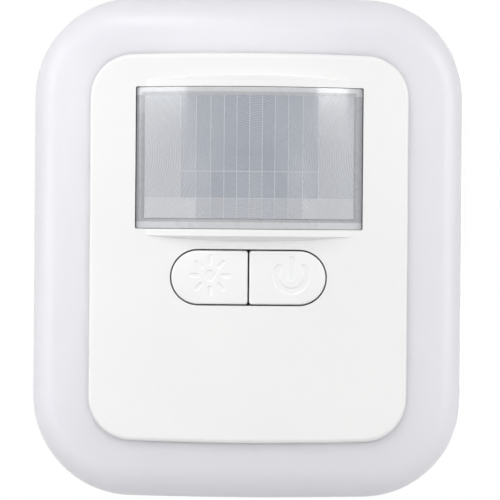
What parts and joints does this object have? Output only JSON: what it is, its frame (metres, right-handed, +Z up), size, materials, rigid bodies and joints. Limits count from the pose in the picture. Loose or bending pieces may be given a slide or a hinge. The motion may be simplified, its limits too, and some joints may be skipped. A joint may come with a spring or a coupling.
{
  "type": "plug in night light",
  "caption": "Plug-in motion-sensor night light: convex white plate with a Fresnel lens window and a pill-shaped pair of push buttons in a frosted diffuser ring, with a flat two-blade plug.",
  "frame": {"origin": "middle of the plug on the wall face of the rear cover", "axes": "+Z up, +Y into the wall along the blades, -Y towards the room, +X to the right as seen from the room"},
  "size_m": [0.069, 0.0463, 0.0798],
  "materials": {
    "white_plastic": "fine satin moulding",
    "button_plastic": "fine satin moulding",
    "frosted_plastic": "milky translucent",
    "lens_plastic": "translucent, grooved on the inside",
    "plated_brass": "nickel plated",
    "zinc_steel": "zinc plated",
    "spring_steel": "bright",
    "nickel_steel": "nickel plated",
    "tinned_wire": "tinned",
    "board_laminate": "white solder mask",
    "led_plastic": "moulded",
    "phosphor": "cast",
    "filter_pane": "polished dark filter",
    "clear_epoxy": "clear",
    "black_plastic": "moulded",
    "chip_ceramic": "coated",
    "film_box": "potted box",
    "capacitor_sleeve": "shrink sleeve",
    "resistor_coat": "flameproof coat",
    "varistor_coat": "epoxy coat"
  },
  "bodies": {
    "housing": {"board_screws": "zinc_steel", "bridge_rectifier": "black_plastic", "brightness_switch_base": "black_plastic", "brightness_switch_cover": "nickel_steel", "brightness_switch_dome": "spring_steel", "bulk_capacitor": "capacitor_sleeve", "chip_resistors": "chip_ceramic", "control_board": "board_laminate", "controller_chip": "black_plastic", "cover_screws": "zinc_steel", "diffuser": "frosted_plastic", "film_capacitor": "film_box", "front_cover": "white_plastic", "fuse_resistor": "resistor_coat", "led_packages": "led_plastic", "led_phosphors": "phosphor", "light_sensor": "clear_epoxy", "link_header": "black_plastic", "link_pins": "tinned_wire", "pir_lens": "lens_plastic", "pir_sensor_can": "nickel_steel", "pir_sensor_header": "nickel_steel", "pir_sensor_leads": "tinned_wire", "pir_sensor_window": "filter_pane", "plug_blade_left": "plated_brass", "plug_blade_right": "plated_brass", "power_board": "board_laminate", "power_switch_base": "black_plastic", "power_switch_cover": "nickel_steel", "power_switch_dome": "spring_steel", "rear_cover": "white_plastic", "switch_terminals": "tinned_wire", "varistor": "varistor_coat", "voltage_regulator": "black_plastic"},
    "brightness_button": {"brightness_button": "button_plastic"},
    "brightness_plunger": {"brightness_switch_plunger": "black_plastic"},
    "power_button": {"power_button": "button_plastic"},
    "power_plunger": {"power_switch_plunger": "black_plastic"}
  },
  "joints": [
    {"name": "brightness_press", "type": "slide", "parent": "housing", "child": "brightness_button", "axis": [0, 1, 0], "range_m": [0, 0.0004], "stiffness_N_per_m": 2500, "springref_m": -0.0003},
    {"name": "brightness_plunge", "type": "slide", "parent": "housing", "child": "brightness_plunger", "axis": [0, 1, 0], "range_m": [0, 0.0004], "deforming": ["brightness_switch_dome"]},
    {"name": "power_press", "type": "slide", "parent": "housing", "child": "power_button", "axis": [0, 1, 0], "range_m": [0, 0.0004], "stiffness_N_per_m": 2500, "springref_m": -0.0003},
    {"name": "power_plunge", "type": "slide", "parent": "housing", "child": "power_plunger", "axis": [0, 1, 0], "range_m": [0, 0.0004], "deforming": ["power_switch_dome"]}
  ],
  "couplings": [
    {"joint": "brightness_plunge", "follows": "brightness_press", "ratio": 1},
    {"joint": "power_plunge", "follows": "power_press", "ratio": 1}
  ]
}
